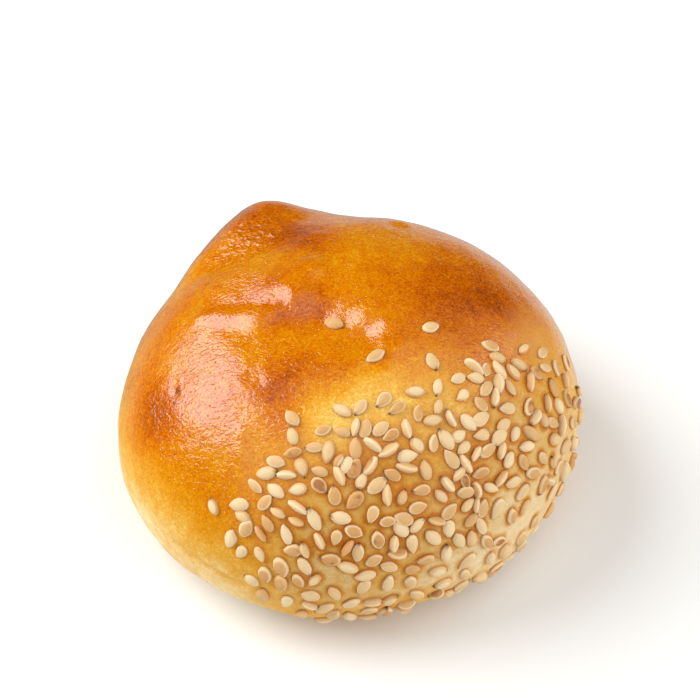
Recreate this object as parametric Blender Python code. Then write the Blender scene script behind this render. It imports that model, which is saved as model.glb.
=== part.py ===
"""A chestnut manju: a baked bun shaped like a chestnut, its broad end dipped in sesame seeds.

Metres, +Z up. The bun lies on the flat of its base at z = 0, with the origin in the middle of the dough.
The pinched tip points to +Y and the broad, seeded end to -Y.
"""

import math
import random
from collections import namedtuple

import bmesh
import bpy
from mathutils import Matrix, Quaternion, Vector
from mathutils.bvhtree import BVHTree

MM = 0.001

# The ball of dough. Its widest level is where the crown meets the belly.
HALF_WIDTH = 34.2 * MM
HALF_LENGTH = 32.3 * MM
CROWN = 24.1 * MM  # height of the dome above the widest level
BELLY = 13.3 * MM  # depth below it, if nothing had flattened the bottom
BELLY_SQUARENESS = 3.0  # 2 is a plain ellipse, and more is boxier
WIDEST_LEVEL = 12.6 * MM  # height of the widest level over the baking sheet
GRID = 14  # squares along each side of the ball's six patches
SHORTEST_EDGE = 0.5 * MM

# How the hands shaped it. A stroke moves the dough at its place, and less and less out to its reach.
Stroke = namedtuple("Stroke", "place move reach")


def stroke(place, move, reach):
    """A stroke given in millimetres, its heights measured from the widest level."""
    return Stroke(Vector(place) * MM, Vector(move) * MM, reach * MM)


STROKES = (
    stroke((0, 32.3, 0), (0, 5.6, 5.0), 20.2),  # the tip, pulled out and up
    stroke((0, -32.3, 0), (0, 1.2, 0), 24),  # the broad end, patted flat
    stroke((22, -25, 0), (-0.8, 0.8, 0), 20),  # its right corner
    stroke((-22, -25, 0), (0.2, 0.2, 0), 20),  # its left corner
    stroke((-26, 18, 6), (0.3, -0.2, 0), 12),  # the straight left flank of the tip
    stroke((-9, 5, 24), (0, 0, -1.6), 12),  # the thumb's hollow beside the crown
    stroke((-20, -5, 17), (-0.4, 0, 0.7), 13),  # the full left shoulder
    stroke((4, -11, 21), (0, -0.3, 0.6), 13),  # the ridge over the seeded end
)

# One sesame seed: a flat drop with a rounded rim, pointed at one end.
SEED_LENGTH = 2.9 * MM
SEED_WIDTH = 1.9 * MM
SEED_THICKNESS = 0.9 * MM
SEED_SIDES = 6
SEED_TAPER = 0.24  # how much narrower the pointed end is
SEED_RIDGE = 1.2 * MM  # length of the ridge along its back
SEED_FACE = 0.6  # share of the outline that its root keeps
SEED_ROOT = 0.75 * MM  # how far it reaches into the dough
SEED_LIFT = 0.22 * MM  # its middle stands this far out of the crust

# The seeded end: the dough beyond a plane that leans over the broad end, with a wavy edge.
DIP_TOWARDS = Vector((0.144, -0.88, 0.454)).normalized()
DIP_LEVEL = 25.1 * MM  # distance of the plane from the origin
DIP_WAVE = 4.0 * MM  # the edge of the seeds swings this much to either side
DIP_WAVES = 2  # times in a turn round the bun
DIP_PHASE = 1.2  # radians
DIP_EDGE = (-1.2 * MM, 3.0 * MM)  # over these depths the chance that a seed sticks grows to one
BUSY_TURN = math.radians(-6)  # round the bun from its top, where the seeds lie thickest
SIDE_TURNS = (math.radians(25), math.radians(90))  # to either side of it they thin out
SIDE_LOSS = 0.85  # of that chance
SIDE_ROOM = 0.3  # the share by which they lie further apart there
SEED_COUNT = 245
SEEDS_IN_SOLID = 200  # the largest of them, which are enough to hold its outline
HALF_SEED = 0.52 * MM  # from a seed's middle to the middle of either half
ROOM = (0.5 * MM, 1.3 * MM)  # what each seed keeps free round both halves is drawn between these
LOWEST_SEED = 2.6 * MM  # over the baking sheet
SEED_SIZES = (0.86, 1.14)
ON_EDGE_SHARE = 0.12  # seeds that stand on their rim
ON_EDGE_TILT = math.radians(65)
ON_EDGE_ROOM = 0.6
LYING_TILT = math.radians(7)
RANDOM_START = 98

# Seeds that fell beyond the dip: x and y seen from above in millimetres, and where the point faces.
STRAYS = (
    (-2.3, 0.1, -51),
    (0.4, -8.2, 5),
    (9.7, -6.4, 1),
    (7.4, -11.7, -91),
    (-13.7, -11.4, -82),
    (-26.8, -14.0, 72),
    (-23.9, -17.6, 117),
)

CRUST_COLOUR = (0.64, 0.25, 0.035, 1.0)
SEED_COLOUR = (0.80, 0.58, 0.32, 1.0)

Place = namedtuple("Place", "ray spin tilt size")


def clear_scene():
    for thing in list(bpy.data.objects):
        bpy.data.objects.remove(thing, do_unlink=True)


def baked_finish(name, colour, roughness):
    material = bpy.data.materials.new(name)
    material.use_nodes = True
    shader = material.node_tree.nodes["Principled BSDF"]
    shader.inputs["Base Color"].default_value = colour
    shader.inputs["Roughness"].default_value = roughness
    material.diffuse_color = colour
    return material


def soft_falloff(share):
    """1 at the middle of a stroke and 0 at its reach, level at both ends."""
    near = max(0.0, 1.0 - share)
    return near * near * (3.0 - 2.0 * near)


def dough_point(direction):
    """The point of the unshaped ball that lies in this direction, measured from its widest level."""
    x, y, z = direction
    if z >= 0:
        return Vector((x * HALF_WIDTH, y * HALF_LENGTH, z * CROWN))
    flat = math.hypot(x, y)
    if flat < 1e-6:
        return Vector((0, 0, -BELLY))
    bulge = (1 - abs(z) ** BELLY_SQUARENESS) ** (1 / BELLY_SQUARENESS) / flat
    return Vector((x * bulge * HALF_WIDTH, y * bulge * HALF_LENGTH, z * BELLY))


def shaped_point(point):
    """Where the strokes, one after another, carry a point of the ball."""
    for made in STROKES:
        point = point + made.move * soft_falloff((point - made.place).length / made.reach)
    return point


def bun_mesh():
    """A ball of six gridded patches, shaped, with its bottom cut flat."""
    ball = bmesh.new()
    bmesh.ops.create_cube(ball, size=2)
    bmesh.ops.subdivide_edges(ball, edges=ball.edges[:], cuts=GRID - 1, use_grid_fill=True)
    for corner in ball.verts:
        even = Vector([math.tan(along * math.pi / 4) for along in corner.co])
        corner.co = shaped_point(dough_point(even.normalized())) + Vector((0, 0, WIDEST_LEVEL))
    everything = ball.verts[:] + ball.edges[:] + ball.faces[:]
    bmesh.ops.bisect_plane(ball, geom=everything, plane_co=(0, 0, 0), plane_no=(0, 0, 1), clear_inner=True)
    rim = [corner for corner in ball.verts if corner.is_boundary]
    near_rim = bmesh.ops.find_doubles(ball, verts=ball.verts, keep_verts=rim, dist=SHORTEST_EDGE)
    bmesh.ops.weld_verts(ball, targetmap=near_rim["targetmap"])
    bmesh.ops.edgeloop_fill(ball, edges=[edge for edge in ball.edges if edge.is_boundary])
    bmesh.ops.recalc_face_normals(ball, faces=ball.faces)
    return ball


def smooth_share(value, low, high):
    """0 at the low value and 1 at the high one, level at both."""
    share = min(1.0, max(0.0, (value - low) / (high - low)))
    return share * share * (3.0 - 2.0 * share)


def turn_round_bun(point):
    """The turn of a point about the length of the bun, from its top."""
    return math.atan2(point.x, point.z - WIDEST_LEVEL)


def dip_depth(point):
    """How far inside the seeded end a point lies, with the wavy edge."""
    wave = DIP_WAVE * math.sin(DIP_WAVES * turn_round_bun(point) + DIP_PHASE)
    return point.dot(DIP_TOWARDS) - DIP_LEVEL - wave


def share_aside(point):
    """How far round to a side a point lies: 0 where the seeds are thickest, 1 at the sides."""
    return smooth_share(abs(turn_round_bun(point) - BUSY_TURN), *SIDE_TURNS)


def chance_to_stick(point):
    """The chance that a seed sticks here, which grows over the edge of the dip and is less at the sides."""
    return smooth_share(dip_depth(point), *DIP_EDGE) * (1 - SIDE_LOSS * share_aside(point))


def seed_turn(outward, spin):
    """Lays a seed's back along this outward direction, and turns its point about it."""
    return Vector((0, 0, 1)).rotation_difference(outward) @ Quaternion((0, 0, 1), spin)


def seed_halves(point, spin):
    """The middles of the two halves of a seed that lies at this point of the ball."""
    x, y, z = point
    depth = CROWN if z > WIDEST_LEVEL else BELLY
    outward = Vector((x / HALF_WIDTH**2, y / HALF_LENGTH**2, (z - WIDEST_LEVEL) / depth**2))
    along = seed_turn(outward, spin) @ Vector((HALF_SEED, 0, 0))
    return point - along, point + along


def seed_places():
    """Rays from the middle of the dough to each seed of the dip, with how it is turned, largest first.

    Each seed keeps its own room from those before it, so the cover is as uneven as when dipped by hand.
    """
    draw = random.Random(RANDOM_START)
    middle = Vector((0, 0, WIDEST_LEVEL))
    places, taken = [], []
    while len(places) < SEED_COUNT:
        direction = Vector((draw.gauss(0, 1), draw.gauss(0, 1), draw.gauss(0, 1))).normalized()
        room = draw.uniform(*ROOM)
        spin = draw.uniform(0, 2 * math.pi)
        on_edge = draw.random() < ON_EDGE_SHARE
        tilt = ON_EDGE_TILT if on_edge else draw.gauss(0, LYING_TILT)
        size = draw.uniform(*SEED_SIZES)
        luck = draw.random()
        point = middle + shaped_point(dough_point(direction))
        if luck >= chance_to_stick(point) or point.z < LOWEST_SEED:
            continue
        room *= 1 + SIDE_ROOM * share_aside(point)
        if on_edge:
            room *= ON_EDGE_ROOM
        halves = seed_halves(point, spin)
        if any((half - other).length < room + kept for half in halves for other, kept in taken):
            continue
        taken += [(half, room) for half in halves]
        places.append(Place((point - middle).normalized(), spin, tilt, size))
    return sorted(places, key=lambda place: -place.size)


def seed_mesh():
    """A drop-shaped seed: a ridge along its back, a drop outline at its middle, and a root in the dough."""
    seed = bmesh.new()
    outline, root = [], []
    for i in range(SEED_SIDES):
        turn = 2 * math.pi * i / SEED_SIDES
        along = SEED_LENGTH / 2 * math.cos(turn)
        across = SEED_WIDTH / 2 * math.sin(turn) * (1 - SEED_TAPER * math.cos(turn))
        outline.append(seed.verts.new((along, across, 0)))
        root.append(seed.verts.new((along * SEED_FACE, across * SEED_FACE, -SEED_ROOT)))
    ridge = [seed.verts.new((end * SEED_RIDGE / 2, 0, SEED_THICKNESS / 2)) for end in (1, -1)]
    bmesh.ops.convex_hull(seed, input=outline + root + ridge)
    mesh = bpy.data.meshes.new("sesame_seed")
    seed.to_mesh(mesh)
    seed.free()
    return mesh


def seed_on(mesh, spot, outward, spin, tilt, size):
    """One seed lying on the crust: turned about the crust's normal, and rolled about its own length."""
    seed = bpy.data.objects.new("seed", mesh)
    seed.matrix_world = (
        Matrix.Translation(spot + outward * SEED_LIFT)
        @ seed_turn(outward, spin).to_matrix().to_4x4()
        @ Matrix.Rotation(tilt, 4, "X")
        @ Matrix.Diagonal((size, size, size, 1))
    )
    return seed


def scatter_seeds(bun, mesh):
    """A collection of every seed, each set on the crust where its ray leaves the dough."""
    crust = BVHTree.FromBMesh(bun)
    dipped = bpy.data.collections.new("dipped_seeds")
    bpy.context.scene.collection.children.link(dipped)
    middle = Vector((0, 0, WIDEST_LEVEL))
    for place in seed_places()[:SEEDS_IN_SOLID]:
        spot, outward, _, _ = crust.ray_cast(middle, place.ray)
        dipped.objects.link(seed_on(mesh, spot, outward, place.spin, place.tilt, place.size))
    for x, y, facing in STRAYS:
        above = Vector((x * MM, y * MM, WIDEST_LEVEL + CROWN * 2))
        spot, outward, _, _ = crust.ray_cast(above, Vector((0, 0, -1)))
        dipped.objects.link(seed_on(mesh, spot, outward, math.radians(facing), 0, 1))
    return dipped


def build_manju():
    clear_scene()
    crust_finish = baked_finish("glazed_crust", CRUST_COLOUR, 0.35)
    seed_finish = baked_finish("toasted_sesame", SEED_COLOUR, 0.5)

    bun = bun_mesh()
    seed = seed_mesh()
    seed.materials.append(seed_finish)
    dipped = scatter_seeds(bun, seed)

    mesh = bpy.data.meshes.new("manju")
    bun.to_mesh(mesh)
    bun.free()
    mesh.materials.append(crust_finish)
    manju = bpy.data.objects.new("manju", mesh)
    bpy.context.scene.collection.objects.link(manju)

    fuse = manju.modifiers.new("fuse_seeds", "BOOLEAN")
    fuse.operation = "UNION"
    fuse.operand_type = "COLLECTION"
    fuse.collection = dipped
    fuse.solver = "EXACT"
    fuse.material_mode = "TRANSFER"
    bpy.context.view_layer.objects.active = manju
    bpy.ops.object.modifier_apply(modifier=fuse.name)
    for thing in list(dipped.objects):
        bpy.data.objects.remove(thing, do_unlink=True)
    bpy.data.collections.remove(dipped)

    manju.data.shade_smooth()
    manju.data.set_sharp_from_angle(angle=math.radians(30))
    return manju


build_manju()
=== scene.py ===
# %% [markdown]
# # A chestnut manju, step by step
# A chestnut manju is a small filled bun, shaped by hand like a chestnut. Its dome is brushed with egg and
# bakes to a glossy brown, its tip is pinched, and its broad end is dipped in sesame seeds. This lesson models
# the dough first, then the seeds, then the two finishes, and lights it like a photograph of food.

# %% Open the frame
import math
import random
from collections import namedtuple

import bmesh
import bpy
from mathutils import Matrix, Quaternion, Vector
from mathutils.bvhtree import BVHTree
from mathutils.kdtree import KDTree


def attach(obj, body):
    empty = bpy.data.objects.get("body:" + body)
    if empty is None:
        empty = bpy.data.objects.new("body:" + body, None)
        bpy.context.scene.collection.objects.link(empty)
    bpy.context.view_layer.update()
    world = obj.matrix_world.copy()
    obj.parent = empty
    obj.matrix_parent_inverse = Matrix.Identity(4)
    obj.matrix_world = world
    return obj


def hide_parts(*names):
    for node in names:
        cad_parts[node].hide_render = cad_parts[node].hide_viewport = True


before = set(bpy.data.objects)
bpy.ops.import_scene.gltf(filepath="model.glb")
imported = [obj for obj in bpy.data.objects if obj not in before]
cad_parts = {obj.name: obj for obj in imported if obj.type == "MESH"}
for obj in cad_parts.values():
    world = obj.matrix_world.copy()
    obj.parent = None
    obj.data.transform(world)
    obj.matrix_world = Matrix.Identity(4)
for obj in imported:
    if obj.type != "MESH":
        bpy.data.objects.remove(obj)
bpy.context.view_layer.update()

MM = 0.001

# %% [markdown]
# ## Working by hand
# Everything below uses the operators that the menus and keys of Blender run, so it can be followed in the
# window. An operator acts on all that is selected. So each piece starts with an empty selection, one helper
# picks up a piece alone, and another adds a modifier to it and applies it.

# %% Three helpers for selections, modes and modifiers
def put_down_everything():
    """Object mode with nothing selected, ready for a new primitive."""
    if bpy.context.object and bpy.context.object.mode != "OBJECT":
        bpy.ops.object.mode_set(mode="OBJECT")
    bpy.ops.object.select_all(action="DESELECT")


def pick_up(piece, mode="OBJECT"):
    """Selects one piece alone and opens it in this mode."""
    put_down_everything()
    piece.select_set(True)
    bpy.context.view_layer.objects.active = piece
    bpy.ops.object.mode_set(mode=mode)


def apply_modifier(piece, kind, **settings):
    """Adds a modifier with these settings, and applies it."""
    pick_up(piece)
    bpy.ops.object.modifier_add(type=kind)
    added = piece.modifiers[-1]
    for name, value in settings.items():
        setattr(added, name, value)
    bpy.ops.object.modifier_apply(modifier=added.name)


put_down_everything()
print("helpers ready")

# %% [markdown]
# ## The ball of dough
# The real bun starts as a ball of dough round a ball of filling, set down on a sheet. A UV sphere would
# gather its faces in a pole on top of the dome, just where the glaze shines, so the ball starts as a cube
# that is subdivided and rounded. Only the dome comes from it, so the lower half is cut away.

# %% The dome, from a cube
HALF_WIDTH = 34.2 * MM
HALF_LENGTH = 32.3 * MM
CROWN = 24.1 * MM  # height over the widest level
PATCH = 14  # squares along each side of the cube's faces
SAME_PLACE = 0.01 * MM

bpy.ops.mesh.primitive_cube_add(size=2)
crust = bpy.context.object
crust.name = "baked_crust"
pick_up(crust, "EDIT")
bpy.ops.mesh.select_all(action="SELECT")
bpy.ops.mesh.subdivide(number_cuts=PATCH - 1)
bpy.ops.transform.tosphere(value=1)
ball = bmesh.from_edit_mesh(crust.data)
ball.verts.ensure_lookup_table()
radius = ball.verts[0].co.length
dome_scale = (HALF_WIDTH / radius, HALF_LENGTH / radius, CROWN / radius)
bpy.ops.transform.resize(value=dome_scale, center_override=(0, 0, 0))
bpy.ops.mesh.bisect(plane_co=(0, 0, 0), plane_no=(0, 0, 1), clear_inner=True, threshold=SAME_PLACE)
print("dome has", len(bmesh.from_edit_mesh(crust.data).faces), "faces")

# %% [markdown]
# ## The belly
# Under its widest level the soft dough bulges and then tucks in to the flat that lies on the sheet. The lower
# half of a ball would look like a balloon, because soft dough sags into an outline that is boxier than an
# ellipse, a superellipse. So the open edge of the dome is extruded down ring by ring, each ring scaled to the
# next point of that outline, and the last ring is filled with a grid for the flat underside.

# %% The belly, ring by ring
BELLY = 13.3 * MM  # depth under the widest level, if nothing had flattened it
BELLY_SQUARENESS = 3.0  # 2 is a plain ellipse, and more is boxier
WIDEST_LEVEL = 12.6 * MM
BELLY_RINGS = 9


def belly_outline(share):
    """Depth and width, as shares of the full ones, this far round the belly's outline."""
    last_turn = math.asin((WIDEST_LEVEL / BELLY) ** (BELLY_SQUARENESS / 2))
    turn = last_turn * share
    return math.sin(turn) ** (2 / BELLY_SQUARENESS), math.cos(turn) ** (2 / BELLY_SQUARENESS)


def select_open_edge(mesh):
    bpy.ops.mesh.select_all(action="DESELECT")
    shape = bmesh.from_edit_mesh(mesh)
    for edge in shape.edges:
        edge.select_set(edge.is_boundary)
    bmesh.update_edit_mesh(mesh)


bpy.ops.mesh.select_mode(type="EDGE")
select_open_edge(crust.data)
depth, width = 0.0, 1.0
for ring in range(1, BELLY_RINGS + 1):
    next_depth, next_width = belly_outline(ring / BELLY_RINGS)
    down = {"value": (0, 0, (depth - next_depth) * BELLY)}
    bpy.ops.mesh.extrude_region_move(TRANSFORM_OT_translate=down)
    step = next_width / width
    bpy.ops.transform.resize(value=(step, step, 1), center_override=(0, 0, 0))
    depth, width = next_depth, next_width
bpy.ops.mesh.fill_grid(span=PATCH)
bpy.ops.mesh.select_all(action="SELECT")
bpy.ops.mesh.normals_make_consistent(inside=False)
faces = len(bmesh.from_edit_mesh(crust.data).faces)
print("bun has", faces, "faces, on a flat", round(2 * width * HALF_WIDTH / MM), "mm wide")

# %% [markdown]
# ## Shaping it like a chestnut
# The baker pinches one side out and up into the tip, pats the other end flat and presses here and there.
# Sculpt brushes could do it, but their strokes are hard to repeat and to correct. Proportional editing does
# what a hand does, with numbers: a point moves, and the dough round it follows less and less out to a reach.
# A loose vertex stands for the fingertip, so that a touch can be anywhere, and is deleted after it.

# %% The touches of the hands
Touch = namedtuple("Touch", "places move reach")
TOUCHES = (  # in millimetres, with heights measured from the widest level
    Touch([(0, 32.3, 0)], (0, 5.6, 5.0), 20.2),  # the tip, pulled out and up
    Touch([(0, -32.3, 0)], (0, 1.2, 0), 24),  # the broad end, patted flat
    Touch([(22, -25, 0)], (-0.8, 0.8, 0), 20),  # its right corner
    Touch([(-22, -25, 0)], (0.2, 0.2, 0), 20),  # its left corner
    Touch([(-26, 18, 6)], (0.3, -0.2, 0), 12),  # the straight left flank of the tip
    Touch([(-9, 5, 24)], (0, 0, -1.6), 12),  # the thumb's hollow beside the crown
    Touch([(-20, -5, 17)], (-0.4, 0, 0.7), 13),  # the full left shoulder
    Touch([(4, -11, 21)], (0, -0.3, 0.6), 13),  # the ridge over the seeded end
)

print(len(TOUCHES), "touches to make")

# %% Press and pull the dough, then smooth it
def press(piece, touch):
    """Moves the dough under the fingertips, and softly less of it out to the reach."""
    shape = bmesh.from_edit_mesh(piece.data)
    for tip in touch.places:
        shape.verts.new(Vector(tip) * MM).select_set(True)
    bmesh.update_edit_mesh(piece.data)
    bpy.ops.transform.translate(
        value=Vector(touch.move) * MM,
        use_proportional_edit=True,
        proportional_edit_falloff="SMOOTH",
        proportional_size=touch.reach * MM,
    )
    bpy.ops.mesh.delete(type="VERT")


bpy.ops.mesh.select_mode(type="VERT")
bpy.ops.mesh.select_all(action="DESELECT")
for touch in TOUCHES:
    press(crust, touch)
bpy.ops.mesh.select_all(action="SELECT")
bpy.ops.transform.translate(value=(0, 0, WIDEST_LEVEL))
bpy.ops.mesh.select_all(action="DESELECT")
put_down_everything()
apply_modifier(crust, "SUBSURF", levels=3, render_levels=3)
pick_up(crust)
bpy.ops.object.shade_smooth()
print("shaped bun has", len(crust.data.polygons), "faces")

# %% [markdown]
# ## Uneven dough
# No dough is a perfect surface. A bump in the material could roughen it, but would leave its outline too
# clean, so two Displace modifiers with a cloud texture push the mesh itself out and in a little: broad,
# shallow lumps, and small ones that break up the edge of every highlight. A vertex group keeps the underside
# flat.

# %% Lumps and ripples
FLAT_UNTIL = 0.5 * MM
FREE_FROM = 4 * MM
RELIEF_DETAIL = 2
Relief = namedtuple("Relief", "name size strength")
RELIEFS = (  # size and strength in millimetres
    Relief("broad_lumps", 11, 0.55),
    Relief("small_lumps", 3.2, 0.12),
)

FREE_SKIN = "free_skin"
free_skin = crust.vertex_groups.new(name=FREE_SKIN)
for corner in crust.data.vertices:
    free = min(1.0, max(0.0, (corner.co.z - FLAT_UNTIL) / (FREE_FROM - FLAT_UNTIL)))
    if free > 0:
        free_skin.add([corner.index], free, "REPLACE")
for relief in RELIEFS:
    clouds = bpy.data.textures.new(relief.name, "CLOUDS")
    clouds.noise_scale = relief.size * MM
    clouds.noise_depth = RELIEF_DETAIL
    apply_modifier(
        crust,
        "DISPLACE",
        texture=clouds,
        texture_coords="LOCAL",
        strength=relief.strength * MM,
        mid_level=0.5,
        vertex_group=FREE_SKIN,
    )
crust.vertex_groups.remove(crust.vertex_groups[FREE_SKIN])
print("lumps of", [relief.size for relief in RELIEFS], "mm")

# %% [markdown]
# ## Folds and dents of the skin
# Where the tip was pulled, the skin gathered in folds across the neck, and the hands left shallow dents. They
# bend the lamp's reflection into the bright bands and flecks of the glaze, so they have to be in the mesh,
# and each where the real one is. A fold is a touch along a line: a row of fingertips, moved together. Its
# places are found by dropping points of the line onto the dough.

# %% The folds and dents
Fold = namedtuple("Fold", "start end bow rise reach")
FOLDS = (  # start and end seen from above, in millimetres; a dent has no length
    Fold((-18.8, 12.2), (-8.0, 11.0), 1.2, 0.72, 12.0),  # the full left of the neck
    Fold((-13.0, -7.3), (-6.0, -4.1), -1.2, -0.51, 12.0),  # the hollow left of the crown
    Fold((-1.8, -0.7), (-3.5, 1.1), 0, -0.80, 6.0),
    Fold((-1.0, 10.8), (-5.7, 6.6), -1.2, 0.73, 3.9),  # the folds across the neck
    Fold((-11.2, 6.3), (-7.3, 11.5), 0, 0.39, 3.9),
    Fold((-2.8, 4.4), (-7.6, 9.2), -0.8, 0.45, 3.3),
    Fold((-9.3, 5.9), (-17.8, 11.3), 0.7, 0.43, 2.4),
    Fold((-12.8, 11.9), (-14.3, 15.3), 0, 0.25, 1.8),
    Fold((-2.1, -4.9), (2.0, -3.8), 0, -0.39, 3.3),  # the flecks on the crown
    Fold((-2.1, -4.0), (0.7, -4.0), -0.6, -0.36, 3.1),
    Fold((-0.2, -9.0), (-1.2, -1.3), -1.2, -0.27, 2.5),
    Fold((3.7, -8.6), (4.5, -3.8), -1.1, 0.20, 1.8),
    Fold((2.0, 1.9), (2.0, 1.9), 0, -0.19, 2.3),
    Fold((-7.8, -10.3), (-18.9, -5.9), 0.6, -0.20, 4.0),  # round the left shoulder
    Fold((-24.3, -5.1), (-26.2, 1.2), 1.2, 0.17, 2.8),
    Fold((-20.7, -9.6), (-21.4, -11.8), 0, 0.25, 1.9),
    Fold((-16.4, -3.4), (-15.9, -4.0), 0, -0.19, 2.0),
    Fold((-26.6, 5.6), (-25.2, 9.1), -1.2, 0.16, 1.8),
    Fold((-20.2, -0.3), (-18.0, 0.1), 0, -0.12, 2.4),
    Fold((-14.4, 0.4), (-17.2, 7.6), -1.2, -0.08, 2.3),
    Fold((-25.6, 2.2), (-25.6, 3.2), 0, -0.3, 1.1),  # the small crater
    Fold((16.6, 18.6), (16.6, 18.6), 0, 0.45, 2.4),  # a bump at the back
    Fold((-11.0, 27.0), (0.0, 31.5), 0, 2.1, 8.0),  # the ridge of the tip
    Fold((-9.5, 19.5), (-2.5, 21.0), 0, -0.6, 5.5),  # and the hollow before it
)

print(len(FOLDS), "folds and dents to press")

# %% Press them into the skin
FINGERTIP_STEP = 0.35  # in reaches
HIGH_ABOVE = 1.0  # metres, well over the bun


def dropped_line(skin, fold):
    """Points along a bowed line seen from above, in millimetres, each dropped onto the skin."""
    start, end = Vector(fold.start), Vector(fold.end)
    length = (end - start).length
    steps = math.ceil(length / (fold.reach * FINGERTIP_STEP))
    places = []
    for step in range(steps + 1):
        share = step / max(1, steps)
        over = start.lerp(end, share)
        if length:
            over += (end - start).orthogonal().normalized() * fold.bow * math.sin(math.pi * share)
        above = Vector((over.x * MM, over.y * MM, HIGH_ABOVE))
        spot, _, _, _ = skin.ray_cast(above, Vector((0, 0, -1)))
        places.append(spot / MM)
    return places


skin = BVHTree.FromObject(crust, bpy.context.evaluated_depsgraph_get())
pick_up(crust, "EDIT")
bpy.ops.mesh.select_all(action="DESELECT")
for fold in FOLDS:
    press(crust, Touch(dropped_line(skin, fold), (0, 0, fold.rise), fold.reach))
put_down_everything()
print("bun is now", round(max(corner.co.z for corner in crust.data.vertices) / MM, 1), "mm high")

# %% [markdown]
# ## A seam low on the left
# The dough was closed round its filling, and where the closing rolled up the side, a fine seam still shows
# just under the browned part. A cut edge would be too sharp for baked dough, so it is one more row of
# fingertips, with a very short reach. They lie where rays from the middle of the bun leave its flank.

# %% The seam
SEAM_TURNS = (-160, -141)  # degrees round the bun from +X
SEAM_RISE = (0.9, -0.7)  # millimetres over the widest level, at its two ends
SEAM_DEPTH = 0.42  # millimetres, and so is the reach
SEAM_REACH = 0.8
SEAM_TIPS = 30  # fingertips in the row

middle = Vector((0, 0, WIDEST_LEVEL))
seam_places, inwards = [], Vector()
for step in range(SEAM_TIPS):
    share = step / (SEAM_TIPS - 1)
    turn = math.radians(SEAM_TURNS[0] + (SEAM_TURNS[1] - SEAM_TURNS[0]) * share)
    rise = (SEAM_RISE[0] + (SEAM_RISE[1] - SEAM_RISE[0]) * share) * MM
    spot, outward, _, _ = skin.ray_cast(middle, Vector((math.cos(turn), math.sin(turn), rise / HALF_WIDTH)))
    seam_places.append(spot / MM)
    inwards -= outward / SEAM_TIPS
pick_up(crust, "EDIT")
bpy.ops.mesh.select_all(action="DESELECT")
press(crust, Touch(seam_places, inwards * SEAM_DEPTH, SEAM_REACH))
put_down_everything()
print("seam of", round((seam_places[-1] - seam_places[0]).length), "mm")

# %% [markdown]
# ## One sesame seed
# A hulled sesame seed is a flat, plump drop about 3 mm long with one pointed end, and each face is edged by a
# fine line. A squashed ball would have neither the point nor the rim, so it starts as a disc. Proportional
# scaling pinches one end to a point, and then the disc is extruded and scaled upwards to the rim, the
# shoulder and the face, and a poke raises the face in the middle. It is copied some 250 times, so it has only
# a few dozen faces.

# %% The seed's outline, from a disc
SEED_LENGTH = 2.96 * MM
SEED_WIDTH = 1.8 * MM
SEED_SIDES = 14
SEED_ROOT = 0.6 * MM  # how far it reaches down into the dough
ROOT_SHARE = 0.6  # of the outline
PINCH_REACH = 1.6  # in radii of the disc

put_down_everything()
bpy.ops.mesh.primitive_circle_add(vertices=SEED_SIDES, radius=1, fill_type="NGON")
seed = bpy.context.object
seed.name = "sesame_seed"
pick_up(seed, "EDIT")
bpy.ops.mesh.select_mode(type="VERT")
bpy.ops.mesh.select_all(action="DESELECT")
disc = bmesh.from_edit_mesh(seed.data)
max(disc.verts, key=lambda corner: corner.co.x).select_set(True)
bmesh.update_edit_mesh(seed.data)
bpy.ops.transform.resize(
    value=(1, 0, 1),
    center_override=(0, 0, 0),
    use_proportional_edit=True,
    proportional_edit_falloff="SHARP",
    proportional_size=PINCH_REACH,
)
bpy.ops.mesh.select_all(action="SELECT")
outline = (SEED_LENGTH / 2 * ROOT_SHARE, SEED_WIDTH / 2 * ROOT_SHARE, 1)
bpy.ops.transform.resize(value=outline, center_override=(0, 0, 0))
bpy.ops.transform.translate(value=(0, 0, -SEED_ROOT))
print("outline has", SEED_SIDES, "corners")

# %% Raise it to the rim and the face
SEED_LEVELS = (  # height over the root in millimetres, and share of the outline
    (0.45, 1.0),
    (0.8, 0.9),
    (1.0, 0.62),
)
FACE_RISE = 0.16 * MM

height, share = 0.0, ROOT_SHARE
for next_height, next_share in SEED_LEVELS:
    up = {"value": (0, 0, (next_height - height) * MM)}
    bpy.ops.mesh.extrude_region_move(TRANSFORM_OT_translate=up)
    step = next_share / share
    bpy.ops.transform.resize(value=(step, step, 1), center_override=(0, 0, 0))
    height, share = next_height, next_share
bpy.ops.mesh.poke(offset=FACE_RISE)
bpy.ops.mesh.select_all(action="SELECT")
bpy.ops.mesh.normals_make_consistent(inside=False)
pick_up(seed)
bpy.ops.object.shade_smooth()
print("one seed has", len(seed.data.polygons), "faces")

# %% [markdown]
# ## Where the seeds stick
# The broad end was pressed into a bowl of seeds, so they cover the dough beyond a plane that leans over that
# end. A particle system scatters things too, but lets them overlap. A rule with a seeded random draw gives
# the same seeds on each run: the chance to stick grows over the edge of the dip and falls off to the sides,
# each new seed keeps its own distance from those before it, some stand on their rim, and a few fell on the
# dome. The rule works on the smooth form of the dough, before its lumps and folds.

# %% The smooth form of the dough
NEARLY_ZERO = 1e-9


def soft_falloff(share):
    """1 at the middle of a touch and 0 at its reach, level at both ends."""
    near = max(0.0, 1.0 - share)
    return near * near * (3.0 - 2.0 * near)


def smooth_share(value, low, high):
    """0 up to the low value and 1 from the high one, level at both ends."""
    share = min(1.0, max(0.0, (value - low) / (high - low)))
    return share * share * (3.0 - 2.0 * share)


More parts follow.
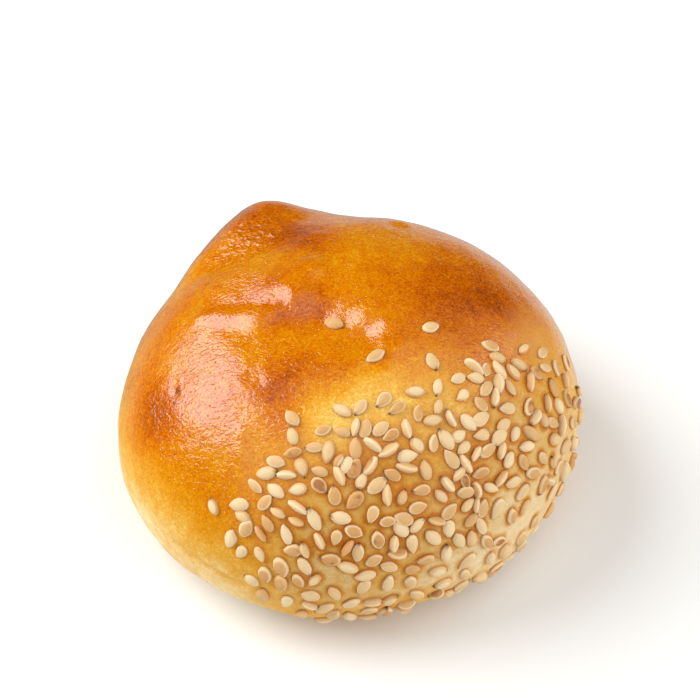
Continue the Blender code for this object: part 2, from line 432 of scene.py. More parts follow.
def smooth_form(direction):
    """The shaped dough's point in this direction from the middle of its widest level."""
    x, y, z = direction
    if z >= 0:
        point = Vector((x * HALF_WIDTH, y * HALF_LENGTH, z * CROWN))
    else:
        flat = max(NEARLY_ZERO, math.hypot(x, y))
        bulge = (1 - abs(z) ** BELLY_SQUARENESS) ** (1 / BELLY_SQUARENESS) / flat
        point = Vector((x * bulge * HALF_WIDTH, y * bulge * HALF_LENGTH, z * BELLY))
    for touch in TOUCHES:
        share = (point - Vector(touch.places[0]) * MM).length / (touch.reach * MM)
        point = point + Vector(touch.move) * MM * soft_falloff(share)
    return point + Vector((0, 0, WIDEST_LEVEL))


print("crown is", round(smooth_form(Vector((0, 0, 1))).z / MM, 1), "mm high")

# %% Where a seed can stick
DIP_TOWARDS = Vector((0.144, -0.88, 0.454)).normalized()
DIP_LEVEL = 25.1 * MM  # distance of the plane from the origin
DIP_WAVE = 4.0 * MM  # the edge of the seeds swings this much to either side
DIP_WAVES = 2  # times in a turn round the bun
DIP_PHASE = 1.2  # radians
DIP_EDGE = (-1.2 * MM, 3.0 * MM)  # over these depths the chance to stick grows to one
BUSY_TURN = math.radians(-6)  # round the bun from its top, where the seeds lie thickest
SIDE_TURNS = (math.radians(25), math.radians(90))  # to either side of it they thin out
SIDE_LOSS = 0.85  # of that chance


def turn_round_bun(point):
    """The turn from the bun's top towards +X, about the line from its broad end to its tip."""
    return math.atan2(point.x, point.z - WIDEST_LEVEL)


def dip_depth(point):
    """How far inside the seeded end a point lies, with the wavy edge."""
    wave = DIP_WAVE * math.sin(DIP_WAVES * turn_round_bun(point) + DIP_PHASE)
    return point.dot(DIP_TOWARDS) - DIP_LEVEL - wave


def share_aside(point):
    """0 where the seeds are thickest, and 1 at the sides of the bun."""
    return smooth_share(abs(turn_round_bun(point) - BUSY_TURN), *SIDE_TURNS)


def chance_to_stick(point):
    return smooth_share(dip_depth(point), *DIP_EDGE) * (1 - SIDE_LOSS * share_aside(point))


broad_end = smooth_form(Vector((0, -1, 0)))
print("the broad end is dipped", round(dip_depth(broad_end) / MM, 1), "mm deep")

# %% How a seed lies
HALF_SEED = 0.52 * MM  # from a seed's middle to the middle of either half


def seed_turn(outward, spin):
    """Lays a seed's back along this outward direction, and turns its point about it."""
    return Vector((0, 0, 1)).rotation_difference(outward) @ Quaternion((0, 0, 1), spin)


def seed_halves(point, outward, spin):
    """The middles of the two halves of a seed that lies at this point with its back along this direction."""
    along = seed_turn(outward, spin) @ Vector((HALF_SEED, 0, 0))
    return point - along, point + along


def dome_outward(point):
    """Which way the dough faces at a point, near enough for a seed."""
    x, y, z = point
    depth = CROWN if z > WIDEST_LEVEL else BELLY
    return Vector((x / HALF_WIDTH**2, y / HALF_LENGTH**2, (z - WIDEST_LEVEL) / depth**2))


lean = dome_outward(broad_end).angle(Vector((0, -1, 0)))
print("at the broad end the dough leans", round(math.degrees(lean)), "degrees")

# %% How many seeds, and how close
SEED_COUNT = 245
ROOM = (0.5 * MM, 1.3 * MM)  # what each seed keeps free round both halves is drawn between these
SIDE_ROOM = 0.3  # the share by which seeds lie further apart at the sides
LOWEST_SEED = 2.6 * MM
SEED_SIZES = (0.86, 1.14)
ON_EDGE_SHARE = 0.12  # seeds that stand on their rim
ON_EDGE_TILT = math.radians(65)
ON_EDGE_ROOM = 0.6
LYING_TILT = math.radians(7)
RANDOM_START = 98
STRAYS = (  # x and y seen from above in millimetres, and where the point faces in degrees
    (-2.3, 0.1, -51),
    (0.4, -8.2, 5),
    (9.7, -6.4, 1),
    (7.4, -11.7, -91),
    (-13.7, -11.4, -82),
    (-26.8, -14.0, 72),
    (-23.9, -17.6, 117),
)

print(SEED_COUNT, "seeds to place, and", len(STRAYS), "strays")

# %% Draw the places
Place = namedtuple("Place", "ray spin tilt size")


def seed_places():
    """Draws directions until enough seeds have found room, and lists them from large to small."""
    draw = random.Random(RANDOM_START)
    places, taken = [], []
    while len(places) < SEED_COUNT:
        direction = Vector((draw.gauss(0, 1), draw.gauss(0, 1), draw.gauss(0, 1))).normalized()
        room = draw.uniform(*ROOM)
        spin = draw.uniform(0, 2 * math.pi)
        on_edge = draw.random() < ON_EDGE_SHARE
        tilt = ON_EDGE_TILT if on_edge else draw.gauss(0, LYING_TILT)
        size = draw.uniform(*SEED_SIZES)
        luck = draw.random()
        point = smooth_form(direction)
        if luck >= chance_to_stick(point) or point.z < LOWEST_SEED:
            continue
        room *= 1 + SIDE_ROOM * share_aside(point)
        if on_edge:
            room *= ON_EDGE_ROOM
        halves = seed_halves(point, dome_outward(point), spin)
        if any((half - other).length < room + kept for half in halves for other, kept in taken):
            continue
        taken += [(half, room) for half in halves]
        places.append(Place((point - middle).normalized(), spin, tilt, size))
    return sorted(places, key=lambda place: -place.size)


places = seed_places()
standing = sum(place.tilt == ON_EDGE_TILT for place in places)
print(len(places), "seeds found room, and", standing, "of them stand on their rim")

# %% [markdown]
# ## Setting the seeds on the crust
# Linked copies would all be alike, so each place gets a copy of the seed with a mesh of its own, turned to
# lie along the crust, and varied a little in length, width, taper and tone, as in any handful. Four numbers
# are kept on its vertices for the finish: how toasted the seed is, how tanned its face, how near a vertex is
# to the dark point, and how far out to the rim. Then all are joined in one piece.

# %% How the seeds differ
LENGTH_SPREAD = 0.06
WIDTH_SPREAD = 0.08
TAPER_SPREAD = 0.14
DARK_POINT_SHARE = 0.24  # seeds whose point is nearly black
FAINT_POINT = 0.1  # how dark it is on the others
DARK_POINT_GAIN = 2.6
DARK_POINT_POWER = 9  # how close to the very end the dark stays
UNDER_RIM = 1.4  # a lying seed's root counts as this share of the outline, so it lies in the glaze and painted shade under the rim
VARIETY_START = 7

vary = random.Random(VARIETY_START)


def keep_numbers(mesh, columns):
    """Stores a number for each vertex under each name, for the finishes to read."""
    for name, column in columns.items():
        mesh.attributes.new(name, "FLOAT", "POINT").data.foreach_set("value", column)


print("one seed in", round(1 / DARK_POINT_SHARE), "has a dark point")

# %% One seed set on the crust
SEED_LIFT = 0.22 * MM  # its middle stands this far out of the crust

crust_skin = BVHTree.FromObject(crust, bpy.context.evaluated_depsgraph_get())


def set_seed(spot, outward, spin, tilt, size):
    """A copy of the seed, lying on the crust at this spot."""
    one = seed.copy()
    one.data = seed.data.copy()
    bpy.context.scene.collection.objects.link(one)
    toasted, tanned, taper = vary.random(), vary.random(), vary.gauss(0, TAPER_SPREAD)
    dark_point = 1.0 if vary.random() < DARK_POINT_SHARE else FAINT_POINT
    stretch = Vector((1 + vary.gauss(0, LENGTH_SPREAD), 1 + vary.gauss(0, WIDTH_SPREAD), 1)) * size
    ring_shares = [1.0 if tilt == ON_EDGE_TILT else UNDER_RIM] + [share for _, share in SEED_LEVELS]
    pointed, out_shares = [], []
    for corner in one.data.vertices:
        along = corner.co.x / (SEED_LENGTH / 2)
        ring = corner.index // SEED_SIDES
        pointed.append(min(1.0, dark_point * DARK_POINT_GAIN * max(0.0, along) ** DARK_POINT_POWER))
        out_shares.append(ring_shares[ring] if ring < len(ring_shares) else 0.0)
        corner.co.y *= 1 - taper * along
    columns = {
        "toasting": [toasted] * len(pointed),
        "face_tan": [tanned] * len(pointed),
        "seed_point": pointed,
        "share_of_outline": out_shares,
    }
    keep_numbers(one.data, columns)
    one.data.transform(
        Matrix.Translation(spot + outward * SEED_LIFT)
        @ seed_turn(outward, spin).to_matrix().to_4x4()
        @ Matrix.Rotation(tilt, 4, "X")
        @ Matrix.Diagonal((*stretch, 1))
    )
    return one


seed_top = SEED_LIFT + SEED_LEVELS[-1][0] * MM + FACE_RISE - SEED_ROOT
print("a seed stands", round(seed_top / MM, 2), "mm out of the crust")

# %% Set them all and join them
handful, hidden_halves = [], []
for place in places:
    spot, outward, _, _ = crust_skin.ray_cast(middle, place.ray)
    handful.append(set_seed(spot, outward, place.spin, place.tilt, place.size))
    hidden_halves += seed_halves(spot, outward, place.spin)
for x, y, facing in STRAYS:
    spot, outward, _, _ = crust_skin.ray_cast(Vector((x * MM, y * MM, HIGH_ABOVE)), Vector((0, 0, -1)))
    handful.append(set_seed(spot, outward, math.radians(facing), 0, 1))
    hidden_halves += seed_halves(spot, outward, math.radians(facing))
put_down_everything()
for one in handful:
    one.select_set(True)
bpy.context.view_layer.objects.active = handful[0]
bpy.ops.object.join()
seeds = bpy.context.object
seeds.name = "sesame_seeds"
bpy.data.objects.remove(seed, do_unlink=True)
print("joined", len(handful), "seeds:", len(seeds.data.polygons), "faces")

# %% [markdown]
# ## How brown the crust is
# Baking colours the bun by its shape: most where the egg lies and the heat reaches, at the tip and over the
# crown, less down the sides, and hardly at all on the dipped end, which has no egg. That could be painted on
# by hand. Here a number on each vertex holds it, from a rule of height with a list of warmer and cooler
# spots, so that a spot is moved or weakened by its numbers, and the finish turns it into colour.

# %% Spots of heat
Spot = namedtuple("Spot", "place reach change")
HEAT_SPOTS = (  # place and reach in millimetres
    Spot((1, 18, 31), 8, 0.24),  # the valley of the neck
    Spot((0, 29, 31), 12, 0.19),  # the tip
    Spot((-4, 17, 32), 6, -0.12),  # the golden neck under it
    Spot((16, 0, 34), 17, 0.23),  # the right of the crown
    Spot((22, -2, 31), 7, 0.12),  # and its dark crest
    Spot((-11, -9, 34), 9, 0.46),  # the browned patch left of the golden band
    Spot((-4, 4, 36), 6, 0.2),  # the thumb's hollow
    Spot((-9, 5, 33), 4, 0.2),
    Spot((-8, 9, 34), 6, 0.16),  # under the bands of light on the neck
    Spot((-16, 9, 32), 6, 0.1),
    Spot((12, 9, 34), 13, -0.1),  # the paler back of the crown
    Spot((-8, -32, 9), 10, 0.12),  # low on the broad end
    Spot((-2, -16, 38), 9, -0.6),  # the golden band over the seeds
    Spot((-9, -11, 33), 8, -0.6),
    Spot((7, -16, 33), 10, -0.19),
    Spot((-16, -19, 33), 22, -0.12),  # the lighter front of the left shoulder
    Spot((-27, -1, 20), 13, 0.08),  # the left flank
    Spot((-37, -5, 10), 21, -0.21),  # the pale rim low on the left
    Spot((-26, -17, 4), 14, -0.27),
    Spot((-9, -34, 17), 9, 0.21),  # among the seeds
    Spot((7, -24, 17), 26, -0.18),
    Spot((23, -12, 18), 18, -0.2),  # the pale rim low on the right
    Spot((-16, 24, 22), 9, -0.17),  # the pale left flank of the tip
    Spot((-10, -17, 32), 7, -0.14),  # paler dough among the first seeds
    Spot((5, -19, 30), 9, -0.14),
    Spot((-22, -2, 31), 11, 0.09),  # under the broad highlight
    Spot((-29, 3, 25), 8, 0.2),  # the ring left of it
    Spot((-6, -9, 35), 5, 0.12),  # the upper edge of the golden band
    Spot((1, 23, 29), 5, 0.12),  # the scorched hollow of the tip
    Spot((-25.6, 2.7, 29), 1.1, 0.5),  # the crater
)
SEAM_SPOT_REACH, SEAM_SPOT_CHANGE = 0.7, 0.1  # the seam browns a little more
IN_THE_SEAM = [Spot(place, SEAM_SPOT_REACH, SEAM_SPOT_CHANGE) for place in seam_places]

print(len(HEAT_SPOTS), "warmer and cooler spots")

# %% Spots of wrinkles, blisters and flour
CRINKLED = (  # where the skin dried in coarser wrinkles
    Spot((-6, 25, 28), 10, 1.2),
    Spot((-9, 14, 33), 9, 1.9),
    Spot((-22, -3, 31), 17, 0.8),
    Spot((-22, 7, 30), 8, 1.2),
)
BLISTERED = (  # where it rose in fine blisters
    Spot((-4, 27, 27), 8, 0.8),
    Spot((-4, 24, 28), 9, 1.0),
    Spot((-9, 18, 30), 8, 0.8),
)
FLOURED = (  # where flour from the sheet is left
    Spot((14, -27, 14), 15, 0.75),
    Spot((26, -9, 27), 9, 0.35),
)
UNGLAZED = (Spot((26, -9, 27), 10, 0.8),)  # where the brush missed the right shoulder


def sum_of_spots(spots, point):
    """The spots' changes at a point, each falling off softly out to its reach."""
    change = 0
    for spot in spots:
        share = (point - Vector(spot.place) * MM).length / (spot.reach * MM)
        change += spot.change * soft_falloff(share)
    return change


print(len(CRINKLED + BLISTERED), "wrinkled and blistered spots,", len(FLOURED), "floured")

# %% Numbers for every vertex of the crust
PALE_BELOW = 12 * MM
BROWN_ABOVE = 26 * MM
SIDE_BROWNING = 0.29
TOP_BROWNING = 0.61
BARE_FROM = (0, 8 * MM)  # over these depths of the dip the dough turns bare
BARE_PALER = 0.48  # what bare dough loses of its browning
BARE_DULLER = 0.8  # and of its egg
EGG_HEIGHTS = (9 * MM, 22 * MM)  # over these the glaze comes in
BARE_HEIGHTS = (0, 20 * MM)  # and over these the cool tint of bare dough
CONTACT_SHADE_REACH = (0.85 * MM, 1.5 * MM)  # painted warm contact shade of the dough round a seed fades this far from the middle of either half

nearest_seed = KDTree(len(hidden_halves))
for index, spot in enumerate(hidden_halves):
    nearest_seed.insert(spot, index)
nearest_seed.balance()

names = ("browning", "egg_glaze", "bare_dough", "crinkled", "blistered", "floured", "painted_contact_shade")
columns = {name: [] for name in names}
for corner in crust.data.vertices:
    height = smooth_share(corner.co.z, PALE_BELOW, BROWN_ABOVE)
    brown = SIDE_BROWNING + (TOP_BROWNING - SIDE_BROWNING) * height + sum_of_spots(HEAT_SPOTS, corner.co)
    brown += sum_of_spots(IN_THE_SEAM, corner.co)
    bare = smooth_share(dip_depth(corner.co), *BARE_FROM)
    columns["browning"].append(brown * (1 - BARE_PALER * bare))
    brushed = (1 - BARE_DULLER * bare) * (1 - sum_of_spots(UNGLAZED, corner.co))
    columns["egg_glaze"].append(brushed * smooth_share(corner.co.z, *EGG_HEIGHTS))
    columns["bare_dough"].append(bare * smooth_share(corner.co.z, *BARE_HEIGHTS))
    columns["crinkled"].append(sum_of_spots(CRINKLED, corner.co))
    columns["blistered"].append(sum_of_spots(BLISTERED, corner.co))
    columns["floured"].append(sum_of_spots(FLOURED, corner.co))
    # painted contact shade: the dough is darker and warmer close to a seed
    _, _, distance = nearest_seed.find(corner.co)
    columns["painted_contact_shade"].append(1 - smooth_share(distance, *CONTACT_SHADE_REACH))
keep_numbers(crust.data, columns)
print("browned", len(crust.data.vertices), "points")

# %% [markdown]
# ## Tools for the finishes
# A colour is written as the hex code that a paint program shows, and one function makes it linear, as the
# shader needs. Another adds a node with its settings, values and links, so each finish reads as a recipe.

# %% Colour and node helpers
def linear(code):
    """An sRGB hex code as linear red, green and blue, with alpha 1."""
    channels = [int(code[start : start + 2], 16) / 255 for start in (1, 3, 5)]
    return (*(c / 12.92 if c <= 0.04045 else ((c + 0.055) / 1.055) ** 2.4 for c in channels), 1.0)


def add_node(tree, kind, settings=None, values=None, links=None):
    """Adds a shader node: its settings by name, and its inputs' values and links by name or number."""
    node = tree.nodes.new(kind)
    for name, value in (settings or {}).items():
        setattr(node, name, value)
    for name, value in (values or {}).items():
        node.inputs[name].default_value = value
    for name, source in (links or {}).items():
        tree.links.new(source, node.inputs[name])
    return node


def set_stops(ramp, stops):
    """Gives a colour ramp these stops, each a position and a hex code."""
    while len(ramp.color_ramp.elements) < len(stops):
        ramp.color_ramp.elements.new(0.5)
    for element, (position, code) in zip(ramp.color_ramp.elements, stops):
        element.position = position
        element.color = linear(code)


def per_mm(size):
    """The scale of a noise or Voronoi pattern whose features are this many millimetres."""
    return 1 / (size * MM)


def new_finish(name, piece):
    """Gives a piece an empty material of this name, and returns its nodes' tree."""
    finish = bpy.data.materials.new(name)
    finish.use_nodes = True
    finish.node_tree.nodes.remove(finish.node_tree.nodes["Principled BSDF"])
    piece.data.materials.clear()
    piece.data.materials.append(finish)
    return finish.node_tree


print("orange crust is", [round(channel, 3) for channel in linear("#D97506")[:3]])

# %% [markdown]
# ## The egg-glazed crust
# The crust is wheat dough brushed with beaten egg and baked. The egg dries to a thin glossy skin full of fine
# wrinkles, so the dome mirrors the lamp with a crackled rim, while the bare dough is matt. One glossy shader
# would shine down in the dough's own colour all over. Instead the glaze is the coat of the shader, over a
# dull base, and the number for egg on each vertex says how much of it there is. Object coordinates set every
# pattern's size in millimetres, so it stays the same on any piece.

# %% Egg-glazed crust: its tones
CRUST_TONES = (
    (0.0, "#E6CEA0"),  # bare dough
    (0.2, "#D6A95F"),
    (0.34, "#D09636"),
    (0.44, "#CC8A1A"),
    (0.55, "#C57A06"),
    (0.68, "#BC6500"),
    (0.82, "#A94F00"),
    (1.0, "#7A3408"),  # the scorched tip
)
EGG_TINT = "#FFFCB4"  # what the yolk takes from the dough's colour
BARE_TINT = "#E6EBFF"  # and the lack of it, where the seeds are
FLOURED_TONE = "#D9C198"  # patches of flour low among the seeds
FLOUR_WEIGHT = 1.1  # where no seed is near
CONTACT_SHADE_TINT = "#F2C48C"  # painted warm contact shade of the dough against a seed
CLOUD_SIZE = 5.0  # millimetres across the patches that the oven browns unevenly
MOTTLE_SIZE = 1.5  # the bubbles just under the skin
GRAIN_SIZE = 0.35  # flour is finer, about 0.1, and is drawn this coarse so that it shows

tree = new_finish("egg_glazed_crust", crust)
place = add_node(tree, "ShaderNodeTexCoord").outputs["Object"]
brown, glazed, bare, dusted, contact_shade, crinkled, blistered = (
    add_node(tree, "ShaderNodeAttribute", {"attribute_name": name}).outputs["Fac"]
    for name in ("browning", "egg_glaze", "bare_dough", "floured", "painted_contact_shade", "crinkled", "blistered")
)
# the painted contact shade beside the seeds lies on bare dough only
contact_shade = add_node(tree, "ShaderNodeMath", {"operation": "MULTIPLY"}, links={0: contact_shade, 1: bare}).outputs[0]
cloud_look = {"Scale": per_mm(CLOUD_SIZE), "Detail": 4.0, "Roughness": 0.6}
clouds = add_node(tree, "ShaderNodeTexNoise", values=cloud_look, links={"Vector": place}).outputs["Fac"]
mottle_look = {"Scale": per_mm(MOTTLE_SIZE), "Detail": 3.0, "Roughness": 0.6}
mottle = add_node(tree, "ShaderNodeTexNoise", values=mottle_look, links={"Vector": place}).outputs["Fac"]
grain_look = {"Scale": per_mm(GRAIN_SIZE), "Detail": 1.0, "Roughness": 0.6}
grain = add_node(tree, "ShaderNodeTexNoise", values=grain_look, links={"Vector": place}).outputs["Fac"]
centred = add_node(tree, "ShaderNodeMath", {"operation": "SUBTRACT"}, {1: 0.5}, {0: grain}).outputs[0]
in_egg = add_node(tree, "ShaderNodeMath", {"operation": "MULTIPLY"}, links={0: centred, 1: glazed}).outputs[0]
print("patterns of", CLOUD_SIZE, MOTTLE_SIZE, GRAIN_SIZE, "mm")

# %% Egg-glazed crust: from numbers to colour
FACTOR, MIX_A, MIX_B, MIXED = 0, 6, 7, 2  # the sockets of a Mix node that is set to colours
WEIGHTS = (  # how far each pattern moves the tone, and what keeps its average at nothing
    (clouds, 0.3, -0.15),
    (mottle, 0.3, -0.15),
    (centred, 0.16, 0.0),
    (in_egg, 0.4, 0.0),
    # the painted contact shade beside the seeds also browns the tone
    (contact_shade, 0.1, 0.0),
)

tone = brown
for pattern, weight, offset in WEIGHTS:
    part = add_node(
        tree, "ShaderNodeMath", {"operation": "MULTIPLY_ADD"}, {1: weight, 2: offset}, {0: pattern}
    ).outputs[0]
    tone = add_node(tree, "ShaderNodeMath", {"operation": "ADD"}, links={0: tone, 1: part}).outputs[0]
ramp = add_node(tree, "ShaderNodeValToRGB", links={"Fac": tone})
set_stops(ramp, CRUST_TONES)
colour = ramp.outputs["Color"]
floured = add_node(
    tree, "ShaderNodeMath", {"operation": "MULTIPLY_ADD"}, {1: -FLOUR_WEIGHT, 2: FLOUR_WEIGHT}, {0: contact_shade}
).outputs[0]
for share in (mottle, dusted):
    links = {0: floured, 1: share}
    floured = add_node(tree, "ShaderNodeMath", {"operation": "MULTIPLY"}, links=links).outputs[0]
for share, how, tint in (
    (glazed, "MULTIPLY", EGG_TINT),
    (bare, "MULTIPLY", BARE_TINT),
    (floured, "MIX", FLOURED_TONE),
    # the painted contact shade darkens and warms the dough beside each seed
    (contact_shade, "MULTIPLY", CONTACT_SHADE_TINT),
):
    blend = {"data_type": "RGBA", "blend_type": how}
    links = {FACTOR: share, MIX_A: colour}
    colour = add_node(tree, "ShaderNodeMix", blend, {MIX_B: linear(tint)}, links).outputs[MIXED]
print("crust colours run over", len(CRUST_TONES), "tones")

# %% Egg-glazed crust: its wrinkles
WRINKLE_SIZE = 0.55  # millimetres across one wrinkle of the dried egg
WRINKLE_HEIGHT = 0.075 * MM
CRINKLE_BOOST = 1.4  # how much higher the wrinkles are where the skin is crinkled
WRINKLE_STRETCH = 2.0  # the pattern is drawn out across the bun, like the folds of the neck
WRINKLE_TURN = math.radians(-24)

across = add_node(
    tree,
    "ShaderNodeMapping",
    {"vector_type": "TEXTURE"},
    {"Rotation": (0, 0, WRINKLE_TURN), "Scale": (WRINKLE_STRETCH, 1, 1)},
    {"Vector": place},
).outputs[0]
wrinkle_look = {"Scale": per_mm(WRINKLE_SIZE), "Detail": 2.5, "Distortion": 0.8}
wrinkles = add_node(tree, "ShaderNodeTexNoise", values=wrinkle_look, links={"Vector": across}).outputs["Fac"]
boost = add_node(
    tree, "ShaderNodeMath", {"operation": "MULTIPLY_ADD"}, {1: CRINKLE_BOOST, 2: 1.0}, {0: crinkled}
).outputs[0]
wrinkles = add_node(
    tree, "ShaderNodeMath", {"operation": "MULTIPLY"}, links={0: wrinkles, 1: boost}
).outputs[0]
print("wrinkles are", WRINKLE_SIZE, "mm across")

# %% Egg-glazed crust: blisters, pores and all its relief
BLISTER_SIZE = 1.1  # millimetres, and so is the pores' spacing
BLISTER_HEIGHT = 0.6 * MM
PORE_SPACING = 0.95
PORE_SLOPE = (0.04, 0.19)  # a pore's wall rises over these shares of the spacing from its middle
PORE_DEPTH = 0.08 * MM
GRAIN_HEIGHT = 0.02 * MM

blister_look = {"Scale": per_mm(BLISTER_SIZE), "Detail": 1.0, "Distortion": 0.4}
blisters = add_node(tree, "ShaderNodeTexNoise", values=blister_look, links={"Vector": place}).outputs["Fac"]
blisters = add_node(
    tree, "ShaderNodeMath", {"operation": "MULTIPLY"}, links={0: blisters, 1: blistered}
).outputs[0]
pores = add_node(
    tree, "ShaderNodeTexVoronoi", values={"Scale": per_mm(PORE_SPACING)}, links={"Vector": place}
).outputs["Distance"]
pit = add_node(
    tree,
    "ShaderNodeMapRange",
    {"interpolation_type": "SMOOTHSTEP"},
    {"From Min": PORE_SLOPE[0], "From Max": PORE_SLOPE[1]},
    {"Value": pores},
).outputs["Result"]
bumps = None
for pattern, height in (
    (wrinkles, WRINKLE_HEIGHT),
    (blisters, BLISTER_HEIGHT),
    (pit, PORE_DEPTH),
    (grain, GRAIN_HEIGHT),
):
    links = {"Height": pattern} if bumps is None else {"Height": pattern, "Normal": bumps}
    relief_look = {"Strength": 1.0, "Distance": height}
    bumps = add_node(tree, "ShaderNodeBump", values=relief_look, links=links).outputs["Normal"]
print("blisters are", BLISTER_SIZE, "mm across and pores", PORE_SPACING, "mm apart")

# %% Egg-glazed crust: its shine
surface = add_node(
    tree,
    "ShaderNodeBsdfPrincipled",
    values={
        "Roughness": 0.6,
        "IOR": 1.45,
        "Specular IOR Level": 0.0,
        "Coat Roughness": 0.065,
        "Coat IOR": 1.6,
        "Subsurface Weight": 0.1,
        "Subsurface Radius": (1.0, 0.35, 0.05),
        "Subsurface Scale": 1.0 * MM,
    },
    links={
        "Base Color": colour,
        "Coat Weight": glazed,
        "Coat Normal": bumps,
        "Normal": bumps,
    },
)
tree.links.new(surface.outputs["BSDF"], tree.nodes["Material Output"].inputs["Surface"])
print("crust finish has", len(tree.nodes), "nodes")

# %% [markdown]
# ## Hulled sesame
# Hulled sesame is cream coloured and slightly oily, and the oven toasts each seed differently, from ivory to
# nut brown. The face often tans more than the rim, and the point where the seed hung in its pod is sometimes
# nearly black. The shade in the fine groove between face and rim is painted as a darker line, and under the
# rim a warm brown paints glaze that crept up there together with shade. A material for each tone would need
# as many materials as tones. One is enough, because it reads the numbers that each seed carries on its
# vertices.

# %% Hulled sesame: its tones
RIM_TONES = (  # from untoasted to toasted
    (0.0, "#E2CBA4"),
    (0.5, "#DDC094"),
    (0.85, "#D6AF7C"),
    (1.0, "#CB9C68"),
)
FACE_TONES = (
    (0.0, "#D9C29A"),
    (0.4, "#D0B182"),
    (0.75, "#C79D69"),
    (0.96, "#BC8A54"),
    (1.0, "#9C6A42"),
)
SPOT_SIZE = 0.9  # millimetres across the uneven toasting of one seed
SPOT_WEIGHT = 0.24

tree = new_finish("hulled_sesame", seeds)
toasting, tanning, dark_point, out_share = (
    add_node(tree, "ShaderNodeAttribute", {"attribute_name": name}).outputs["Fac"]
    for name in ("toasting", "face_tan", "seed_point", "share_of_outline")
)
place = add_node(tree, "ShaderNodeTexCoord").outputs["Object"]
spot_look = {"Scale": per_mm(SPOT_SIZE), "Detail": 2.0}
spots = add_node(tree, "ShaderNodeTexNoise", values=spot_look, links={"Vector": place}).outputs["Fac"]
uneven = add_node(
    tree, "ShaderNodeMath", {"operation": "MULTIPLY_ADD"}, {1: SPOT_WEIGHT, 2: -SPOT_WEIGHT / 2}, {0: spots}
).outputs[0]
tones = []
for toast, stops in ((toasting, RIM_TONES), (tanning, FACE_TONES)):
    toast = add_node(tree, "ShaderNodeMath", {"operation": "ADD"}, links={0: toast, 1: uneven}).outputs[0]
    tones.append(add_node(tree, "ShaderNodeValToRGB", links={"Fac": toast}))
    set_stops(tones[-1], stops)
rim, face = tones
print("sesame tones:", len(RIM_TONES), "for the rim and", len(FACE_TONES), "for the face")

# %% Hulled sesame: where its rim, its painted groove shade and the shade under its rim are
FACE_WITHIN = (0.62, 0.84)  # over these shares of the outline the face passes into the rim
LINE_AT = 0.76  # share of the outline where the painted shade of the groove lies, and so is its half width
LINE_HALF_WIDTH = 0.09
GROOVE_SHADE_STRENGTH = 0.3
UNDER_FROM = (0.94, 1.12)  # over these shares of the outline the glaze and the painted shade under the rim come in

in_rim = add_node(
    tree,
    "ShaderNodeMapRange",
    {"interpolation_type": "SMOOTHSTEP"},
    {"From Min": FACE_WITHIN[0], "From Max": FACE_WITHIN[1]},
    {"Value": out_share},
).outputs["Result"]
glaze_and_shade_under_rim = add_node(
    tree,
    "ShaderNodeMapRange",
    values={"From Min": UNDER_FROM[0], "From Max": UNDER_FROM[1]},
    links={"Value": out_share},
).outputs["Result"]
# The darker line is painted shade of the fine groove between face and rim, which the mesh lacks.
off_line = add_node(
    tree, "ShaderNodeMath", {"operation": "SUBTRACT"}, {1: LINE_AT}, {0: out_share}
).outputs[0]
off_line = add_node(tree, "ShaderNodeMath", {"operation": "ABSOLUTE"}, links={0: off_line}).outputs[0]
line = add_node(
    tree,
    "ShaderNodeMapRange",
    {"interpolation_type": "SMOOTHSTEP"},
    {"From Min": 0.0, "From Max": LINE_HALF_WIDTH, "To Min": GROOVE_SHADE_STRENGTH, "To Max": 0.0},
    {"Value": off_line},
).outputs["Result"]
print("line lies", round(LINE_AT * SEED_WIDTH / 2 / MM, 2), "mm to either side of a seed's middle")

# %% Hulled sesame: its colour and shine
# painted shade in the fine groove between face and rim
GROOVE_SHADE_COLOUR = "#B98348"
GLAZE_AND_SHADE_UNDER_RIM_COLOUR = "#B86C1C"  # glaze that crept up under the rim, with painted shade on the seed's side
SEED_POINT_COLOUR = "#54200C"

links = {FACTOR: in_rim, MIX_A: face.outputs["Color"], MIX_B: rim.outputs["Color"]}
colour = add_node(tree, "ShaderNodeMix", {"data_type": "RGBA"}, links=links).outputs[MIXED]
# the painted groove shade, the glaze and painted shade under the rim, and the dark point
for share, tint in ((line, GROOVE_SHADE_COLOUR), (glaze_and_shade_under_rim, GLAZE_AND_SHADE_UNDER_RIM_COLOUR), (dark_point, SEED_POINT_COLOUR)):
    links = {FACTOR: share, MIX_A: colour}
    colour = add_node(
        tree, "ShaderNodeMix", {"data_type": "RGBA"}, {MIX_B: linear(tint)}, links
    ).outputs[MIXED]
surface = add_node(
    tree,
    "ShaderNodeBsdfPrincipled",
    values={
        "Roughness": 0.5,
        "IOR": 1.4,
        "Specular IOR Level": 0.12,
    },
    links={"Base Color": colour},
)
tree.links.new(surface.outputs["BSDF"], tree.nodes["Material Output"].inputs["Surface"])
print("sesame finish has", len(tree.nodes), "nodes")

# %% [markdown]
# ## The pieces take their place in the frame
# The crust and the seeds together stand for the one solid bun of the frame, whose plain mesh is then hidden.

# %% Ride on the frame
for piece, slot in ((crust, "glazed_crust"), (seeds, "toasted_sesame")):
    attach(piece, "root")
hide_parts("manju")
print("pieces:", crust.name, seeds.name)

# %% [markdown]
# ## The table and the light
# A big round softbox behind the left shoulder gives the one broad highlight on the dome. A small lamp would
# give a hard spark and hard shadows instead. A long card on the right lays a pale veil on that flank, and a
# soft fill, which shows in no reflection, lifts the shadows. The room is bright on the camera's side and dark
# behind, which keeps the crown's brown deep. The table is plain and pale, and is hidden from the glaze, so
# that a soft glow in the room can stand for it there.

# %% Table
TABLE_SIZE = 6.0  # metres

